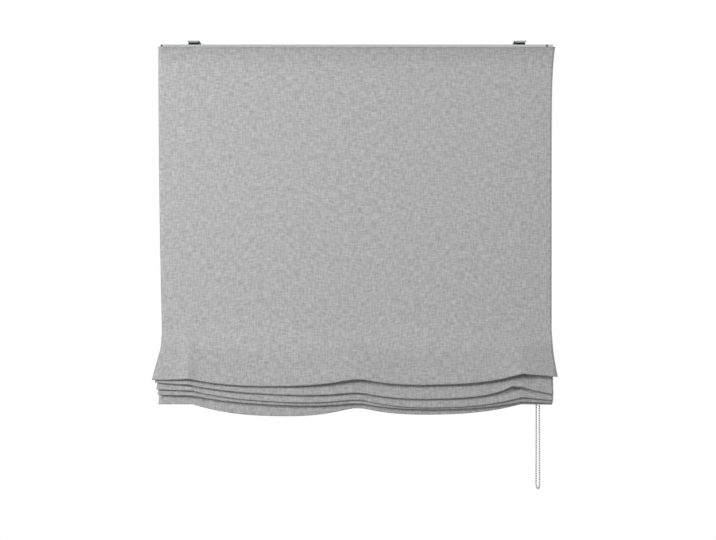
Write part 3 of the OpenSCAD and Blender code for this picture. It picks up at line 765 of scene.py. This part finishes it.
bead_plastic = moulded("moulded acetal beads", "#b6b6b6", "#a2a2a2", 0.35, 1.2, 0.03)
white_nylon = moulded("white moulded nylon", "#d6d6d6", "#c8c8c8", 0.45, 0.8, 0.04)
dark_abs = moulded("dark grey moulded ABS", "#5f6062", "#505153", 0.5, 0.8, 0.05)
black_nylon = moulded("black moulded nylon", "#2a2a2b", "#1c1c1d", 0.55, 0.8, 0.05)
milky_plastic = moulded("milky moulded polycarbonate", "#dfe2e3", "#cdd1d3", 0.25, 1.2, 0.02)

white_kinds = ("drum_cradle", "lift_drum", "cord_stop")
for side in ("left", "middle", "right"):
    paint(white_nylon, *[nodes[f"{kind}_{side}"] for kind in white_kinds])
paint(white_nylon, nodes["chain_sprocket"], nodes["control_cover"])
paint(dark_abs, nodes["end_cap_left"], nodes["control_housing"])
paint(black_nylon, nodes["bracket_cam_left"], nodes["bracket_cam_right"])
# Rings and their threads take turns in the list of pieces
paint(milky_plastic, nodes["chain_connector"], *ring_pieces[::2])

# %% [markdown]
# ### Braided cord
# Lift cords are braided polyester: two sets of yarns cross in steep spirals and make a fine
# herringbone. Two wave patterns in the cord's own coordinates, leaning opposite ways, give the
# crossing. A yarn of 0.6 mm is too fine to show from here, so the waves are nearly 4 mm long.

# %% Braided cord
YARN_WAVE_MM = 3.77
YARN_LEAN = np.radians(55)
# The wave texture takes the sine of 20 times the scaled place
WAVE_SCALE = 2 * np.pi / (20 * YARN_WAVE_MM * MM)

braid, tree = new_material("braided polyester cord")
uv = add(tree, "TexCoord").outputs["UV"]
leans = []
for lean in (1, -1):
    turned_map = add(tree, "Mapping", {"Vector": uv, "Rotation": (0, 0, lean * YARN_LEAN)})
    wave = add(tree, "TexWave", {"Vector": turned_map.outputs[0], "Scale": WAVE_SCALE})
    leans.append(wave.outputs["Fac"])
crossing = add(tree, "Math", {0: leans[0], 1: leans[1]}, operation="MAXIMUM")
crossing = crossing.outputs[0]
tones = {MIX_SHARE: crossing, MIX_FIRST: linear("#b4b4b4"), MIX_SECOND: linear("#e6e6e6")}
tone = add(tree, "Mix", tones, data_type="RGBA")
relief = add(tree, "Bump", {"Height": crossing, "Strength": 0.5, "Distance": 0.0002})
surface = add(
    tree,
    "BsdfPrincipled",
    {
        "Base Color": tone.outputs[MIX_COLOUR],
        "Roughness": 0.75,
        "Sheen Weight": 0.1,
        "Normal": relief.outputs[0],
    },
)
add(tree, "OutputMaterial", {"Surface": surface.outputs[0]})
paint(braid, *lift_cords)

# %% [markdown]
# ### Sewing thread and chain cord
# The stitches, the threads of the rings and the cord inside the chain are plain twisted thread,
# too thin for its twist to show. A soft change of tone is enough, by the place on the piece.

# %% Sewing thread
FUZZ_MM = 0.8

thread, tree = new_material("twisted polyester thread")
place = add(tree, "TexCoord").outputs["Object"]
fuzz = add(tree, "TexNoise", {"Vector": place, "Scale": 1 / (FUZZ_MM * MM), "Detail": 2.0})
fuzz = fuzz.outputs["Fac"]
tones = {MIX_SHARE: fuzz, MIX_FIRST: linear("#d6d6d6"), MIX_SECOND: linear("#f0f0f0")}
tone = add(tree, "Mix", tones, data_type="RGBA").outputs[MIX_COLOUR]
matt = {"Base Color": tone, "Roughness": 0.8, "Sheen Weight": 0.1}
surface = add(tree, "BsdfPrincipled", matt)
add(tree, "OutputMaterial", {"Surface": surface.outputs[0]})
paint(thread, stitches, *ring_pieces[1::2])

chain.data.materials.append(bead_plastic)
chain.data.materials.append(thread)
of_cord = np.zeros(len(chain.data.polygons), np.int32)
of_cord[-len(chain_cord_faces):] = 1
chain.data.polygons.foreach_set("material_index", of_cord)
print(f"chain: {len(all_bead_faces)} faces of beads and {len(chain_cord_faces)} of cord")

# %% [markdown]
# ### Touch tape
# The cloth hangs on the rail by a hook and loop tape: a woven band whose face is a fine pile.

# %% Touch tape
PILE_MM = 1.2

tape, tree = new_material("woven touch tape")
place = add(tree, "TexCoord").outputs["Object"]
pile = add(tree, "TexVoronoi", {"Vector": place, "Scale": 1 / (PILE_MM * MM)})
pile = pile.outputs["Distance"]
tones = {MIX_SHARE: pile, MIX_FIRST: linear("#e4e4e4"), MIX_SECOND: linear("#bababa")}
tone = add(tree, "Mix", tones, data_type="RGBA")
relief = add(tree, "Bump", {"Height": pile, "Strength": 0.6, "Distance": 0.0004})
surface = add(
    tree,
    "BsdfPrincipled",
    {
        "Base Color": tone.outputs[MIX_COLOUR],
        "Roughness": 0.9,
        "Sheen Weight": 0.2,
        "Normal": relief.outputs[0],
    },
)
add(tree, "OutputMaterial", {"Surface": surface.outputs[0]})
paint(tape, nodes["hook_tape"], nodes["loop_tape"])

# %% [markdown]
# ### Metals
# The rail is extruded aluminium with a satin anodised skin: very fine lines run along it, from
# the die. The bracket plates, rivets and shaft are zinc-plated steel, with a faint cloudy
# spangle. The brake spring is drawn wire and the hem weight is dull lead. All are metals with
# some stretch of noise in their roughness, so one function makes them, and the stretch along X
# makes the die lines.

# %% Metals
METAL_SPREAD = 0.1


def metal(name, light, dark, roughness, size_mm, depth_mm):
    """Two close tones and a roughness that follow noise of the given size along x, y and z.
    The lighter the tone, the smoother the metal."""
    material, tree = new_material(name)
    place = add(tree, "TexCoord").outputs["Object"]
    scale = tuple(1 / (v * MM) for v in size_mm)
    grain_map = add(tree, "Mapping", {"Vector": place, "Scale": scale})
    grain = add(tree, "TexNoise", {"Vector": grain_map.outputs[0], "Scale": 1.0, "Detail": 3.0})
    grain = grain.outputs["Fac"]
    tones = {MIX_SHARE: grain, MIX_FIRST: linear(dark), MIX_SECOND: linear(light)}
    tone = add(tree, "Mix", tones, data_type="RGBA")
    least, most = roughness - METAL_SPREAD, roughness + METAL_SPREAD
    rough = add(tree, "MapRange", {"Value": grain, "To Min": most, "To Max": least})
    relief = add(tree, "Bump", {"Height": grain, "Strength": 0.2, "Distance": depth_mm * MM})
    surface = add(
        tree,
        "BsdfPrincipled",
        {
            "Base Color": tone.outputs[MIX_COLOUR],
            "Metallic": 1.0,
            "Roughness": rough.outputs[0],
            "Normal": relief.outputs[0],
        },
    )
    add(tree, "OutputMaterial", {"Surface": surface.outputs[0]})
    return material


anodised = metal("satin anodised aluminium", "#c8c9ca", "#bcbdbe", 0.45, (120, 0.8, 0.8), 0.02)
zinc = metal("zinc-plated steel", "#b0b1b2", "#989a9c", 0.4, (4, 4, 4), 0.02)
spring_wire = metal("drawn spring wire", "#9ea1a4", "#84878a", 0.35, (0.6, 0.6, 0.6), 0.01)
lead = metal("dull lead", "#85888b", "#696c6f", 0.65, (3, 3, 3), 0.05)

paint(anodised, nodes["head_rail"])
paint(zinc, nodes["bracket_plate_left"], nodes["bracket_plate_right"])
paint(zinc, nodes["cam_rivet_left"], nodes["cam_rivet_right"], nodes["drive_shaft"])
paint(spring_wire, nodes["brake_spring"])
paint(lead, nodes["hem_weight"])

# %% [markdown]
# ## Light, floor and background
# Soft light comes from all round: the plain white surroundings, a lamp at the left, which makes
# the left of the cloth a little brighter than the right, a small lamp at the front above the
# blind, which draws the shade under each fold, and a large lamp behind, which shines through
# the weave. Past the blind, in a shine and through a clear piece the surroundings look plain
# white, and as a light they are dimmer: the kind of ray decides which. The floor is far below
# the hem, where the lowered blind still clears it.

# %% Floor
FLOOR_Z = -2050.0
FLOOR_SIDE, FLOOR_FRONT, FLOOR_BACK = 2600.0, -2600.0, 1900.0
TROWEL_MM = 60

floor_x = np.array([-FLOOR_SIDE, FLOOR_SIDE, FLOOR_SIDE, -FLOOR_SIDE])
floor_y = np.array([FLOOR_FRONT, FLOOR_FRONT, FLOOR_BACK, FLOOR_BACK])
floor = new_piece("floor", np.stack([floor_x, floor_y, np.full(4, FLOOR_Z)], -1), [[0, 1, 2, 3]])
floor_paint, tree = new_material("pale floor paint")
place = add(tree, "TexCoord").outputs["Object"]
trowel = add(tree, "TexNoise", {"Vector": place, "Scale": 1 / (TROWEL_MM * MM), "Detail": 2.0})
trowel = trowel.outputs["Fac"]
tones = {MIX_SHARE: trowel, MIX_FIRST: linear("#c4c4c4"), MIX_SECOND: linear("#cecece")}
tone = add(tree, "Mix", tones, data_type="RGBA").outputs[MIX_COLOUR]
surface = add(tree, "BsdfPrincipled", {"Base Color": tone, "Roughness": 0.7})
add(tree, "OutputMaterial", {"Surface": surface.outputs[0]})
paint(floor_paint, floor)

# %% Surroundings
AMBIENT = 0.30

world = bpy.data.worlds.new("plain surroundings")
scene.world = world
world.use_nodes = True
tree = world.node_tree
tree.nodes.clear()
ray = add(tree, "LightPath").outputs
seen = add(tree, "Math", {0: ray["Is Camera Ray"], 1: ray["Is Glossy Ray"]}, operation="MAXIMUM")
seen = add(tree, "Math", {0: seen.outputs[0], 1: ray["Is Transmission Ray"]}, operation="MAXIMUM")
strength = add(tree, "MapRange", {"Value": seen.outputs[0], "To Min": AMBIENT, "To Max": 1.0})
sky = add(tree, "Background", {"Color": (1, 1, 1, 1), "Strength": strength.outputs[0]})
add(tree, "OutputWorld", {"Surface": sky.outputs[0]})
print("surroundings light at", AMBIENT)


# %% Lamps
def add_lamp(name, place, aim, size, power):
    """A square lamp at a place, turned to face a point."""
    data = bpy.data.lights.new(name, "AREA")
    data.size = size
    data.energy = power
    lamp = bpy.data.objects.new(name, data)
    lamp.location = place
    lamp.rotation_euler = (Vector(aim) - Vector(place)).to_track_quat("-Z", "Y").to_euler()
    lamp.visible_camera = False
    lamp.visible_glossy = False
    scene.collection.objects.link(lamp)
    print(f"{name}: {power} W from a square of {size} m")


MIDDLE = (0, 0, -0.45)
add_lamp("left lamp", (-2.4, -1.8, 0.1), MIDDLE, 0.8, 56)
add_lamp("front lamp", (0.9, -2.7, 0.6), MIDDLE, 0.5, 21)
add_lamp("back lamp", (0.2, 2.6, -0.3), MIDDLE, 2.2, 52)
